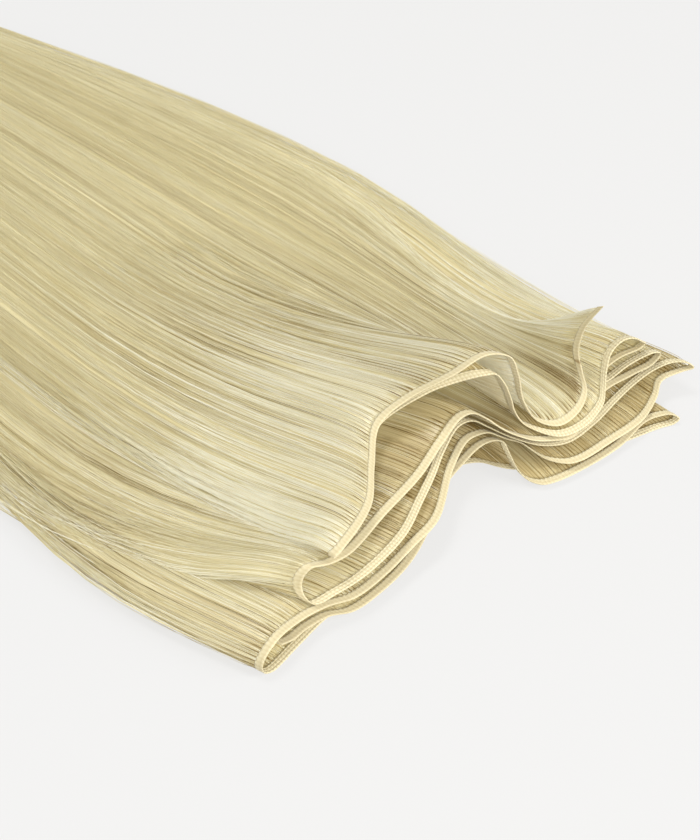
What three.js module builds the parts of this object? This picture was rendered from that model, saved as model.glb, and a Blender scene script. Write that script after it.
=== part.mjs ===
// A hair weft folded to and fro on a flat surface: one sewn band with straight hair along its back edge
import * as THREE from 'three';

const { lerp, smoothstep } = THREE.MathUtils;

// Driving dimensions in millimetres
const hairLength = 406;
const bandWidth = 3.2;
const bandThickness = 0.8;
const hairThickness = 0.8;
const tipThickness = 0.5;
const lockRelief = 0.12;
const seamGap = 0.4;
const foldGap = 1.2;
const layerPitch = 1.3;
const fallLength = { left: 140, right: 75 };
const spreadLength = { edge: 90, left: 120, right: 150 };
const edgeSide = { from: 8, to: 60 };
const sideChange = { from: 118, to: 148 };
const fallPower = 1.6;
const spreadPower = 2;
const pleatSide = { from: 90, to: 138 };
const narrowFrom = { left: 40, right: 150 };
const narrowShare = 0.42;
const narrowPower = 1.6;
const pileMiddle = 88;
const tipStagger = 18;
const lockWidth = 16;
const stationStep = 6;

// Distances behind the band at which the hair has a row of points
const hairSteps = [0, 10, 25, 48, 82, 140, 230, 320, hairLength];

// Each run is one pass of the strip, listed in order along it from the turned-up free end.
// layer: the run's place in the flat pile, counted from the surface.
// overPleat: how many layers of the short pleat lift it on the right.
// edges: where the run starts and ends across the flat pile.
// rows: the band's front edge, as along (across the pile), back (away from the front) and up.
// The last row of a run is the fold that leads to the next.
const runs = [
  {
    name: 'hair_run_a',
    layer: 6,
    overPleat: 2,
    edges: [177, 24],
    rows: [
      { along: 144, back: 6.5, up: 44 },
      { along: 143, back: 11.5, up: 34 },
      { along: 142, back: 12.5, up: 25 },
      { along: 141, back: 9.5, up: 19 },
      { along: 138, back: 5, up: 15.5 },
      { along: 130.5, back: 2, up: 13.6 },
      { along: 122, back: 2.5, up: 13.2 },
      { along: 117.5, back: 7, up: 15.2 },
      { along: 116, back: 11.5, up: 21 },
      { along: 114.5, back: 13, up: 31 },
      { along: 112, back: 14.5, up: 38 },
      { along: 106, back: 18, up: 40 },
      { along: 96, back: 22, up: 36 },
      { along: 85, back: 29.5, up: 29 },
      { along: 75, back: 31, up: 24.5 },
      { along: 63.5, back: 22, up: 21.6 },
      { along: 51.5, back: 11.5, up: 20.6 },
      { along: 33.5, back: 4.5, up: 20.8 },
      { along: 30.5, back: 5, up: 19.2 },
    ],
  },
  {
    name: 'hair_run_b',
    layer: 5,
    overPleat: 2,
    edges: [26.5, 182],
    rows: [
      { along: 33.5, back: 6, up: 17.8 },
      { along: 52, back: 13.5, up: 18.4 },
      { along: 64, back: 24, up: 19.4 },
      { along: 76, back: 32.5, up: 22.3 },
      { along: 90.5, back: 28, up: 28.5 },
      { along: 98, back: 23.5, up: 31 },
      { along: 105, back: 18, up: 33 },
      { along: 108.5, back: 16.5, up: 32.3 },
      { along: 110.3, back: 14.5, up: 29 },
      { along: 112, back: 13, up: 23 },
      { along: 112.8, back: 12, up: 18.5 },
      { along: 114.5, back: 9, up: 14 },
      { along: 120, back: 0.5, up: 11.4 },
      { along: 129, back: -2, up: 11.4 },
      { along: 140, back: 0, up: 12.6 },
      { along: 144.5, back: 3, up: 14.4 },
      { along: 148.5, back: 6, up: 17.4 },
      { along: 152, back: 7.5, up: 21.5 },
      { along: 156.5, back: 7, up: 24 },
      { along: 161, back: 6, up: 23.2 },
      { along: 164.5, back: 5, up: 20.5 },
      { along: 166.5, back: 5.5, up: 18.5 },
    ],
  },
  {
    name: 'hair_run_c',
    layer: 6,
    overPleat: 0,
    edges: [180, 146],
    rows: [
      { along: 165, back: 6, up: 17.2 },
      { along: 158, back: 8, up: 16.4 },
      { along: 151, back: 8.5, up: 15.1 },
      { along: 147, back: 8, up: 12.9 },
    ],
  },
  {
    name: 'hair_run_d',
    layer: 5,
    overPleat: 0,
    edges: [148, 183],
    rows: [
      { along: 150, back: 7, up: 11.7 },
      { along: 158.5, back: 5.5, up: 14 },
      { along: 163.5, back: 4.5, up: 14.8 },
      { along: 168.5, back: 3, up: 15.2 },
      { along: 171.5, back: 2.5, up: 13.3 },
    ],
  },
  {
    name: 'hair_run_e',
    layer: 4,
    overPleat: 0,
    edges: [181, -6],
    rows: [
      { along: 168, back: 2.5, up: 11.4 },
      { along: 160, back: 4.5, up: 10.1 },
      { along: 149, back: 6, up: 9.5 },
      { along: 137, back: 3, up: 9.2 },
      { along: 124.5, back: -1, up: 9.4 },
      { along: 117, back: 2.5, up: 10.3 },
      { along: 113, back: 4.5, up: 11.8 },
      { along: 107, back: 8.5, up: 15.8 },
      { along: 104, back: 11, up: 18.8 },
      { along: 102, back: 13.5, up: 21.2 },
      { along: 99.5, back: 17, up: 22.5 },
      { along: 96, back: 18.5, up: 21.7 },
      { along: 87.5, back: 17.5, up: 18.2 },
      { along: 74, back: 13.5, up: 16.3 },
      { along: 56, back: 10, up: 15.5 },
      { along: 38, back: 6, up: 15.2 },
      { along: 31.5, back: 6.5, up: 15.5 },
      { along: 27.5, back: 6.5, up: 17.2 },
      { along: 24.5, back: 7, up: 18.2 },
      { along: 22.3, back: 8, up: 16 },
      { along: 21.3, back: 8, up: 12.4 },
    ],
  },
  {
    name: 'hair_run_f',
    layer: 3,
    overPleat: 0,
    edges: [-2, 185],
    rows: [
      { along: 21, back: 6, up: 10 },
      { along: 22, back: 3.5, up: 8.6 },
      { along: 28, back: 1.5, up: 9.6 },
      { along: 38, back: 0, up: 11 },
      { along: 56, back: 2.5, up: 12.1 },
      { along: 69, back: 8, up: 13.2 },
      { along: 79, back: 12.5, up: 14.4 },
      { along: 87, back: 16.5, up: 15.9 },
      { along: 96, back: 19, up: 18.6 },
      { along: 100.5, back: 17.5, up: 18.9 },
      { along: 104.5, back: 14.5, up: 15.8 },
      { along: 110.3, back: 10, up: 11 },
      { along: 117, back: 4, up: 7.6 },
      { along: 124, back: 0, up: 6.9 },
      { along: 137, back: 0, up: 6.8 },
      { along: 150, back: 2, up: 7 },
      { along: 160, back: 3, up: 7.5 },
      { along: 168, back: 2, up: 9.1 },
      { along: 174, back: -1, up: 10.6 },
      { along: 177, back: -4.5, up: 10.4 },
      { along: 178, back: -6, up: 9 },
    ],
  },
  {
    name: 'hair_run_g',
    layer: 2,
    overPleat: 0,
    edges: [183, -11.5],
    rows: [
      { along: 175, back: -4, up: 8.1 },
      { along: 168, back: -1.5, up: 6.8 },
      { along: 162.5, back: -4, up: 5 },
      { along: 150, back: -8, up: 5 },
      { along: 135, back: -7.5, up: 4.6 },
      { along: 123, back: -6.5, up: 4.5 },
      { along: 119, back: -4.5, up: 4.5 },
      { along: 115.5, back: 1, up: 5 },
      { along: 113.5, back: 9, up: 7.6 },
      { along: 111, back: 12, up: 8.8 },
      { along: 108, back: 13, up: 11.2 },
      { along: 104.5, back: 14.5, up: 13.8 },
      { along: 101.5, back: 15.5, up: 14.3 },
      { along: 97.5, back: 16.5, up: 13.7 },
      { along: 87.5, back: 13, up: 11.8 },
      { along: 69, back: 2, up: 9.8 },
      { along: 58, back: 0.5, up: 8.5 },
      { along: 45, back: -1, up: 7.2 },
      { along: 33, back: -1, up: 6.6 },
      { along: 25, back: 2, up: 6.6 },
      { along: 15, back: 2, up: 8.3 },
      { along: 5.5, back: 0.5, up: 9.4 },
      { along: 0, back: 0, up: 6.4 },
      { along: -1, back: 0, up: 3.6 },
    ],
  },
  {
    name: 'hair_run_h',
    layer: 0,
    overPleat: 0,
    edges: [-11, 178.5],
    rows: [
      { along: 0, back: 0, up: 1 },
      { along: 2.5, back: -0.5, up: 0.4 },
      { along: 14, back: 1.5, up: 0.4 },
      { along: 26, back: 3.5, up: 0.4 },
      { along: 45, back: 4, up: 0.4 },
      { along: 65, back: 9, up: 0.4 },
      { along: 85, back: 18, up: 0.4 },
      { along: 95, back: 21, up: 0.4 },
      { along: 100, back: 20.5, up: 0.4 },
      { along: 104.5, back: 17.5, up: 0.4 },
      { along: 107, back: 12, up: 0.4 },
      { along: 109.5, back: 8, up: 0.4 },
      { along: 116, back: 3, up: 0.4 },
      { along: 128, back: -2, up: 0.4 },
      { along: 142, back: -7, up: 0.4 },
      { along: 156, back: -11, up: 0.4 },
      { along: 160.5, back: -13, up: 0.7 },
      { along: 162, back: -13.5, up: 2 },
    ],
  },
  {
    name: 'hair_run_i',
    layer: 1,
    overPleat: 0,
    edges: [180.5, -6],
    rows: [
      { along: 160.5, back: -11.5, up: 3.4 },
      { along: 158, back: -9.5, up: 3.2 },
      { along: 153.5, back: -7.5, up: 2.6 },
      { along: 138, back: -9, up: 2.2 },
      { along: 122, back: -7.5, up: 1.9 },
      { along: 113, back: -5.5, up: 1.8 },
      { along: 109, back: -3.5, up: 1.8 },
      { along: 107, back: 0, up: 2.3 },
      { along: 107, back: 4.5, up: 3.8 },
      { along: 108.5, back: 9.5, up: 6.5 },
      { along: 109, back: 12, up: 8.6 },
      { along: 107, back: 13, up: 10.2 },
      { along: 104.5, back: 14, up: 10.6 },
      { along: 101, back: 15, up: 9.9 },
      { along: 94, back: 15, up: 7.8 },
      { along: 85, back: 13.5, up: 6 },
      { along: 70.5, back: 6, up: 4 },
      { along: 56, back: 0.5, up: 2.8 },
      { along: 42, back: -1.5, up: 2.3 },
      { along: 32, back: -1, up: 2 },
      { along: 26, back: 2, up: 2.3 },
      { along: 18, back: 2.5, up: 3 },
      { along: 11.5, back: 1.5, up: 4 },
      { along: 7.5, back: 1.5, up: 5.2 },
    ],
  },
];

// The strip's front edge as one smooth curve through every row
const rows = runs.flatMap((run) => run.rows);
const frontEdge = new THREE.CatmullRomCurve3(
  rows.map((row) => new THREE.Vector3(row.along, row.back, row.up)),
  false,
  'centripetal',
);

// Stations of one run: places along the curve, closer together beside its folds
function stationsBetween(firstRow, lastRow) {
  const places = [firstRow];
  for (let index = firstRow; index < lastRow; index += 1) {
    const a = rows[index];
    const b = rows[index + 1];
    const reach = Math.hypot(a.along - b.along, a.back - b.back, a.up - b.up);
    const atFold = index === firstRow || index + 1 === lastRow;
    const parts = Math.max(atFold ? 2 : 1, Math.round(reach / stationStep));
    for (let part = 1; part <= parts; part += 1) {
      places.push(index + part / parts);
    }
  }
  return places;
}

function pointAt(place) {
  const point = frontEdge.getPoint(place / (rows.length - 1));
  point.z = Math.max(point.z, bandThickness / 2);
  return point;
}

// Share of each station's way along its run, by length of the band
function sharesOf(places) {
  const points = places.map(pointAt);
  const lengths = [0];
  for (let index = 1; index < points.length; index += 1) {
    lengths.push(lengths[index - 1] + points[index].distanceTo(points[index - 1]));
  }
  return lengths.map((length) => length / lengths[lengths.length - 1]);
}

// A strand's point: it leaves the front edge level, falls to its layer and spreads across the pile
function strandPoint(run, place, share, reach) {
  const root = pointAt(place);
  const flatAlong = lerp(run.edges[0], run.edges[1], share);
  const layer = run.layer + run.overPleat * smoothstep(flatAlong, pleatSide.from, pleatSide.to);
  const flatUp = hairThickness / 2 + layer * layerPitch;
  const side = smoothstep(root.x, sideChange.from, sideChange.to);
  const fall = lerp(fallLength.left, fallLength.right, side);
  const fallen = 1 - Math.pow(1 - Math.min(reach / fall, 1), fallPower);
  const inner = smoothstep(root.x, edgeSide.from, edgeSide.to);
  const spreadLeft = lerp(spreadLength.edge, spreadLength.left, inner);
  const easedLeft = 1 - Math.pow(1 - Math.min(reach / spreadLeft, 1), spreadPower);
  const spread = lerp(easedLeft, smoothstep(reach, 0, spreadLength.right), side);
  const along = lerp(root.x, flatAlong, spread);
  const drawnFrom = lerp(narrowFrom.left, narrowFrom.right, side);
  const far = Math.max(0, reach - drawnFrom) / (hairLength - drawnFrom);
  const narrowed = along + (pileMiddle - along) * narrowShare * Math.pow(far, narrowPower);
  return new THREE.Vector3(narrowed, root.y + reach, lerp(root.z, flatUp, fallen));
}

// A closed wall round a grid of middle points, with a thickness at each of them
function wallFromGrid(points, thicknesses) {
  const across = points.length;
  const along = points[0].length;
  const positions = [];
  const indices = [];
  const edgeAlong = new THREE.Vector3();
  const edgeAcross = new THREE.Vector3();
  for (const side of [1, -1]) {
    for (let i = 0; i < across; i += 1) {
      for (let j = 0; j < along; j += 1) {
        edgeAcross.subVectors(points[Math.min(i + 1, across - 1)][j], points[Math.max(i - 1, 0)][j]);
        edgeAlong.subVectors(points[i][Math.min(j + 1, along - 1)], points[i][Math.max(j - 1, 0)]);
        const normal = new THREE.Vector3().crossVectors(edgeAcross, edgeAlong).normalize();
        const place = points[i][j].clone().addScaledVector(normal, side * thicknesses[i][j] / 2);
        positions.push(place.x, place.y, place.z);
      }
    }
  }
  const top = (i, j) => i * along + j;
  const bottom = (i, j) => across * along + i * along + j;
  const quad = (a, b, c, d) => indices.push(a, b, c, a, c, d);
  for (let i = 0; i + 1 < across; i += 1) {
    for (let j = 0; j + 1 < along; j += 1) {
      quad(top(i, j), top(i + 1, j), top(i + 1, j + 1), top(i, j + 1));
      quad(bottom(i, j), bottom(i, j + 1), bottom(i + 1, j + 1), bottom(i + 1, j));
    }
    quad(top(i, 0), bottom(i, 0), bottom(i + 1, 0), top(i + 1, 0));
    quad(top(i + 1, along - 1), bottom(i + 1, along - 1), bottom(i, along - 1), top(i, along - 1));
  }
  for (let j = 0; j + 1 < along; j += 1) {
    quad(top(0, j + 1), bottom(0, j + 1), bottom(0, j), top(0, j));
    quad(top(across - 1, j), bottom(across - 1, j), bottom(across - 1, j + 1), top(across - 1, j + 1));
  }
  const geometry = new THREE.BufferGeometry();
  geometry.setAttribute('position', new THREE.Float32BufferAttribute(positions, 3));
  geometry.setIndex(indices);
  geometry.computeVertexNormals();
  return geometry;
}

// A run's hair: a wall of locks from just behind the band to staggered, thinner tips.
// The lowest run has no relief, because it lies flat on the surface.
function hairWall(run, places, shares) {
  const points = [];
  const thicknesses = [];
  const width = Math.abs(run.edges[1] - run.edges[0]);
  const relief = run.layer > 0 ? lockRelief : 0;
  places.forEach((place, index) => {
    const odd = index % 2;
    const lockTurn = Math.PI * (width / lockWidth) * shares[index];
    const lockLength = hairLength - tipStagger * Math.abs(Math.sin(lockTurn));
    points.push(hairSteps.map((step) => (
      strandPoint(run, place, shares[index], bandWidth + seamGap + Math.min(step, lockLength))
    )));
    thicknesses.push(hairSteps.map((step) => (
      step === hairLength ? tipThickness : hairThickness - relief * odd
    )));
  });
  return wallFromGrid(points, thicknesses);
}

// Rows of each run along the whole strip, from the fold before it to the fold after it
let nextRow = 0;
const spans = runs.map((run, index) => {
  const first = index === 0 ? 0 : nextRow - 1;
  nextRow += run.rows.length;
  return { run, first, last: nextRow - 1 };
});

// Ends of a run drawn in from its folds, so that neighbouring runs keep a gap there
function drawnIn(places, atStart, atEnd) {
  const inset = (a, b) => (foldGap / 2) / pointAt(a).distanceTo(pointAt(b));
  const drawn = [...places];
  const last = drawn.length - 1;
  if (atStart) {
    drawn[0] += (drawn[1] - drawn[0]) * inset(drawn[0], drawn[1]);
  }
  if (atEnd) {
    drawn[last] -= (drawn[last] - drawn[last - 1]) * inset(drawn[last], drawn[last - 1]);
  }
  return drawn;
}

const pile = new THREE.Group();
const bandPoints = [];
spans.forEach(({ run, first, last }, index) => {
  const places = stationsBetween(first, last);
  const shares = sharesOf(places);
  const hairPlaces = drawnIn(places, index > 0, index < spans.length - 1);
  const hairMaterial = new THREE.MeshStandardMaterial({ color: 0xd9cc9c, roughness: 0.5, metalness: 0 });
  const hair = new THREE.Mesh(hairWall(run, hairPlaces, shares), hairMaterial);
  hair.name = run.name;
  pile.add(hair);
  places.forEach((place, station) => {
    if (index === 0 || station > 0) {
      bandPoints.push([0, bandWidth].map((reach) => strandPoint(run, place, shares[station], reach)));
    }
  });
});

// The sewn band: one ribbon along the whole strip
const bandMaterial = new THREE.MeshStandardMaterial({ color: 0xe9dca6, roughness: 0.6, metalness: 0 });
const band = new THREE.Mesh(
  wallFromGrid(bandPoints, bandPoints.map((pair) => pair.map(() => bandThickness))),
  bandMaterial,
);
band.name = 'weft_band';
pile.add(band);

// The frame's origin lies under the middle of the pile, on the surface it rests on
const box = new THREE.Box3().setFromObject(pile);
const middle = box.getCenter(new THREE.Vector3());
pile.position.set(-middle.x, -middle.y, -box.min.z);

export default pile;
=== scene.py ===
import bpy
import numpy as np
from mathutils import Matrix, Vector


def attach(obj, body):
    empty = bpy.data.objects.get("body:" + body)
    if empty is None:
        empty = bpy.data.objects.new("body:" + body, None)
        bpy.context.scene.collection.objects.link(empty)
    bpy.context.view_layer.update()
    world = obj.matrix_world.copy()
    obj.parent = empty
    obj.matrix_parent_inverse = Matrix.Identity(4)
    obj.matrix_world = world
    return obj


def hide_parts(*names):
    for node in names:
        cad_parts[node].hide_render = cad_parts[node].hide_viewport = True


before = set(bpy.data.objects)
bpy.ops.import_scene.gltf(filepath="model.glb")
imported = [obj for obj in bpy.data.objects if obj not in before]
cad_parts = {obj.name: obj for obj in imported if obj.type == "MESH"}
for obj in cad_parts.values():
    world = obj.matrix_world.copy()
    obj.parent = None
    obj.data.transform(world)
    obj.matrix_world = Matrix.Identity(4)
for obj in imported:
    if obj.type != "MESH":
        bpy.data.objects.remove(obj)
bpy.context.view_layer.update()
print("frame loaded:", len(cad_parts), "solids")

mm = 0.001

# Camera at the photo's angle: a long lens, looking down across the band towards the tips
shot = {
    "place": (-0.31178, -0.46875, 0.36808),
    "aim": (0.5456, 0.5456, -0.6361),
    "lens": 80,
    "sensor": 36,
    "nearest": 0.01,
}


def placeCamera():
    lens = bpy.data.cameras.new("photoCamera")
    lens.lens = shot["lens"]
    lens.sensor_width = shot["sensor"]
    lens.clip_start = shot["nearest"]
    camera = bpy.data.objects.new("photoCamera", lens)
    camera.location = shot["place"]
    camera.rotation_mode = "QUATERNION"
    camera.rotation_quaternion = Vector(shot["aim"]).to_track_quat("-Z", "Y")
    bpy.context.scene.collection.objects.link(camera)
    bpy.context.scene.camera = camera


# High-key studio: a pale floor, an even white sky and large softboxes
studio = {
    "skyColour": (1.0, 0.995, 0.985),
    "skyStrength": 0.37,
    "floorColour": (0.12, 0.119, 0.118),
    "floorGlow": (0.690, 0.687, 0.679),
    "floorSize": 30.0,
    "floorRoughness": 0.9,
    "floorGloss": 0.1,
    "boxes": [
        {
            "name": "keyBox", "watts": 22.0, "size": (1.0, 0.9),
            "place": (-0.8, -1.3, 1.0), "aim": (0, -0.15, 0),
        },
        {
            "name": "frontBox", "watts": 40.0, "size": (1.4, 0.9),
            "place": (0.9, -1.7, 0.8), "aim": (0, -0.2, 0.02),
        },
        {
            "name": "lowBox", "watts": 4.0, "size": (0.9, 0.35),
            "place": (-0.55, -1.25, 0.28), "aim": (0, -0.2, 0.015),
        },
        {
            "name": "leftBox", "watts": 5.0, "size": (0.9, 0.9),
            "place": (-1.3, 0.0, 1.2), "aim": (0, -0.15, 0),
        },
        {
            "name": "topBox", "watts": 9.0, "size": (0.6, 0.35),
            "place": (0.0, 0.3, 1.38), "aim": (0, -0.2, 0),
        },
    ],
}


def lightStudio():
    scene = bpy.context.scene
    scene.view_settings.view_transform = "Standard"
    world = bpy.data.worlds.new("studioSky")
    world.use_nodes = True
    sky = world.node_tree.nodes["Background"]
    sky.inputs["Color"].default_value = (*studio["skyColour"], 1)
    sky.inputs["Strength"].default_value = studio["skyStrength"]
    scene.world = world
    for box in studio["boxes"]:
        lamp = bpy.data.lights.new(box["name"], "AREA")
        lamp.shape = "RECTANGLE"
        lamp.size, lamp.size_y = box["size"]
        lamp.energy = box["watts"]
        holder = bpy.data.objects.new(box["name"], lamp)
        holder.location = box["place"]
        holder.rotation_mode = "QUATERNION"
        holder.rotation_quaternion = (Vector(box["aim"]) - Vector(box["place"])).to_track_quat("-Z", "Y")
        scene.collection.objects.link(holder)


def layFloor():
    half = studio["floorSize"] / 2
    mesh = bpy.data.meshes.new("floor")
    corners = [(-half, -half, 0), (half, -half, 0), (half, half, 0), (-half, half, 0)]
    mesh.from_pydata(corners, [], [(0, 1, 2, 3)])
    paint = bpy.data.materials.new("paleFloor")
    paint.use_nodes = True
    shader = paint.node_tree.nodes["Principled BSDF"]
    shader.inputs["Base Color"].default_value = (*studio["floorColour"], 1)
    shader.inputs["Emission Color"].default_value = (*studio["floorGlow"], 1)
    shader.inputs["Emission Strength"].default_value = 1
    shader.inputs["Roughness"].default_value = studio["floorRoughness"]
    shader.inputs["Specular IOR Level"].default_value = studio["floorGloss"]
    mesh.materials.append(paint)
    floor = bpy.data.objects.new("floor", mesh)
    bpy.context.scene.collection.objects.link(floor)


placeCamera()
lightStudio()
layFloor()
print("camera, lights and floor placed")

# The strip in millimetres: how its hair falls from the band to the flat pile, as the solids have it
strip = {
    "origin": (87.4666, 212.8704, 0),
    "hairLength": 406,
    "bandWidth": 3.2,
    "bandThickness": 0.8,
    "hairThickness": 0.8,
    "layerPitch": 1.3,
    "fallLength": (140, 75),
    "spreadLength": (90, 120, 150),
    "spreadPower": 2,
    "edgeSide": (8, 60),
    "sideChange": (118, 148),
    "fallPower": 1.6,
    "pleatSide": (90, 138),
    "narrowFrom": (40, 150),
    "narrowShare": 0.42,
    "narrowPower": 1.6,
    "pileMiddle": 88,
    "tipStagger": 18,
    "lockWidth": 16,
    "bundlePitch": 1.3,
    "lockWidths": (3.5, 9.5),
    "lockSeed": 700,
    "levelSpan": 11,
    "floorGap": 0.03,
    # From here on, what the loose hair has beyond the solids. It springs up behind the band before it
    # falls, and less so on the right: from, to and the share left.
    "spring": {"a": 2.6, "b": 2.3, "c": 1.2, "d": 1.2, "e": 2.1, "f": 1.8, "g": 1.6, "h": 0.9, "i": 0.9},
    "springReach": 16,
    "springLean": 0.8,
    "springRight": (142, 166, 0.3),
    # Ridges with more spring: place, width and height
    "ridges": {"b": ((101, 12, 4.5),), "e": ((20, 11, 2.6), (96, 14, 1.0))},
    # How far the middle of the top pass sweeps to the right on its way to the tips
    "bow": {"a": 26},
    "bowReach": (70, 406),
    "bowPower": 1.4,
    # The sides swell: how far, where along the pile, and over which reach
    "bulges": ((3.0, (150, 185), (30, 310)), (-2.4, (10, -12), (0, 115))),
}

# Each pass of the strip, in order from the turned-up free end. Its rows are the band's front edge:
# along the pile, back from the front, and up. The last row is the fold that leads to the next pass.
passes = [
    {
        "letter": "a", "layer": 6, "overPleat": 2, "edges": (177, 24),
        "rows": [
            (144, 6.5, 44), (143, 11.5, 34), (142, 12.5, 25), (141, 9.5, 19), (138, 5, 15.5),
            (130.5, 2, 13.6), (122, 2.5, 13.2), (117.5, 7, 15.2), (116, 11.5, 21), (114.5, 13, 31),
            (112, 14.5, 38), (106, 18, 40), (96, 22, 36), (85, 29.5, 29), (75, 31, 24.5),
            (63.5, 22, 21.6), (51.5, 11.5, 20.6), (33.5, 4.5, 20.8), (30.5, 5, 19.2),
        ],
    },
    {
        "letter": "b", "layer": 5, "overPleat": 2, "edges": (26.5, 182),
        "rows": [
            (33.5, 6, 17.8), (52, 13.5, 18.4), (64, 24, 19.4), (76, 32.5, 22.3), (90.5, 28, 28.5),
            (98, 23.5, 31), (105, 18, 33), (108.5, 16.5, 32.3), (110.3, 14.5, 29), (112, 13, 23),
            (112.8, 12, 18.5), (114.5, 9, 14), (120, 0.5, 11.4), (129, -2, 11.4), (140, 0, 12.6),
            (144.5, 3, 14.4), (148.5, 6, 17.4), (152, 7.5, 21.5), (156.5, 7, 24), (161, 6, 23.2),
            (164.5, 5, 20.5), (166.5, 5.5, 18.5),
        ],
    },
    {
        "letter": "c", "layer": 6, "overPleat": 0, "edges": (180, 146),
        "rows": [(165, 6, 17.2), (158, 8, 16.4), (151, 8.5, 15.1), (147, 8, 12.9)],
    },
    {
        "letter": "d", "layer": 5, "overPleat": 0, "edges": (148, 183),
        "rows": [(150, 7, 11.7), (158.5, 5.5, 14), (163.5, 4.5, 14.8), (168.5, 3, 15.2), (171.5, 2.5, 13.3)],
    },
    {
        "letter": "e", "layer": 4, "overPleat": 0, "edges": (181, -6),
        "rows": [
            (168, 2.5, 11.4), (160, 4.5, 10.1), (149, 6, 9.5), (137, 3, 9.2), (124.5, -1, 9.4),
            (117, 2.5, 10.3), (113, 4.5, 11.8), (107, 8.5, 15.8), (104, 11, 18.8), (102, 13.5, 21.2),
            (99.5, 17, 22.5), (96, 18.5, 21.7), (87.5, 17.5, 18.2), (74, 13.5, 16.3), (56, 10, 15.5),
            (38, 6, 15.2), (31.5, 6.5, 15.5), (27.5, 6.5, 17.2), (24.5, 7, 18.2), (22.3, 8, 16),
            (21.3, 8, 12.4),
        ],
    },
    {
        "letter": "f", "layer": 3, "overPleat": 0, "edges": (-2, 185),
        "rows": [
            (21, 6, 10), (22, 3.5, 8.6), (28, 1.5, 9.6), (38, 0, 11), (56, 2.5, 12.1),
            (69, 8, 13.2), (79, 12.5, 14.4), (87, 16.5, 15.9), (96, 19, 18.6), (100.5, 17.5, 18.9),
            (104.5, 14.5, 15.8), (110.3, 10, 11), (117, 4, 7.6), (124, 0, 6.9), (137, 0, 6.8),
            (150, 2, 7), (160, 3, 7.5), (168, 2, 9.1), (174, -1, 10.6), (177, -4.5, 10.4),
            (178, -6, 9),
        ],
    },
    {
        "letter": "g", "layer": 2, "overPleat": 0, "edges": (183, -11.5),
        "rows": [
            (175, -4, 8.1), (168, -1.5, 6.8), (162.5, -4, 5), (150, -8, 5), (135, -7.5, 4.6),
            (123, -6.5, 4.5), (119, -4.5, 4.5), (115.5, 1, 5), (113.5, 9, 7.6), (111, 12, 8.8),
            (108, 13, 11.2), (104.5, 14.5, 13.8), (101.5, 15.5, 14.3), (97.5, 16.5, 13.7), (87.5, 13, 11.8),
            (69, 2, 9.8), (58, 0.5, 8.5), (45, -1, 7.2), (33, -1, 6.6), (25, 2, 6.6),
            (15, 2, 8.3), (5.5, 0.5, 9.4), (0, 0, 6.4), (-1, 0, 3.6),
        ],
    },
    {
        "letter": "h", "layer": 0, "overPleat": 0, "edges": (-11, 178.5),
        "rows": [
            (0, 0, 1), (2.5, -0.5, 0.4), (14, 1.5, 0.4), (26, 3.5, 0.4), (45, 4, 0.4),
            (65, 9, 0.4), (85, 18, 0.4), (95, 21, 0.4), (100, 20.5, 0.4), (104.5, 17.5, 0.4),
            (107, 12, 0.4), (109.5, 8, 0.4), (116, 3, 0.4), (128, -2, 0.4), (142, -7, 0.4),
            (156, -11, 0.4), (160.5, -13, 0.7), (162, -13.5, 2),
        ],
    },
    {
        "letter": "i", "layer": 1, "overPleat": 0, "edges": (180.5, -6),
        "rows": [
            (160.5, -11.5, 3.4), (158, -9.5, 3.2), (153.5, -7.5, 2.6), (138, -9, 2.2), (122, -7.5, 1.9),
            (113, -5.5, 1.8), (109, -3.5, 1.8), (107, 0, 2.3), (107, 4.5, 3.8), (108.5, 9.5, 6.5),
            (109, 12, 8.6), (107, 13, 10.2), (104.5, 14, 10.6), (101, 15, 9.9), (94, 15, 7.8),
            (85, 13.5, 6), (70.5, 6, 4), (56, 0.5, 2.8), (42, -1.5, 2.3), (32, -1, 2),
            (26, 2, 2.3), (18, 2.5, 3), (11.5, 1.5, 4), (7.5, 1.5, 5.2),
        ],
    },
]


def mix(low, high, share):
    return low + (high - low) * share


def softStep(value, low, high):
    share = np.clip((value - low) / (high - low), 0, 1)
    return share * share * (3 - 2 * share)


def unit(vectors):
    return vectors / np.maximum(np.linalg.norm(vectors, axis=-1, keepdims=True), 1e-9)


# One smooth curve through every row, with the same even bends as the solids' front edge
def smoothEdge(rows, perGap):
    points = np.array(rows, float)
    points = np.vstack([2 * points[0] - points[1], points, 2 * points[-1] - points[-2]])
    t = np.linspace(0, 1, perGap, endpoint=False)[:, None]
    dense = []
    for p0, p1, p2, p3 in zip(points, points[1:], points[2:], points[3:]):
        d0, d1, d2 = (np.linalg.norm(b - a) ** 0.5 for a, b in ((p0, p1), (p1, p2), (p2, p3)))
        leave = ((p1 - p0) / d0 - (p2 - p0) / (d0 + d1) + (p2 - p1) / d1) * d1
        arrive = ((p2 - p1) / d1 - (p3 - p1) / (d1 + d2) + (p3 - p2) / d2) * d1
        bend = 3 * (p2 - p1) - 2 * leave - arrive
        ease = 2 * (p1 - p2) + leave + arrive
        dense.append(p1 + leave * t + bend * t**2 + ease * t**3)
    dense.append(points[-2][None])
    return np.vstack(dense)


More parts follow.
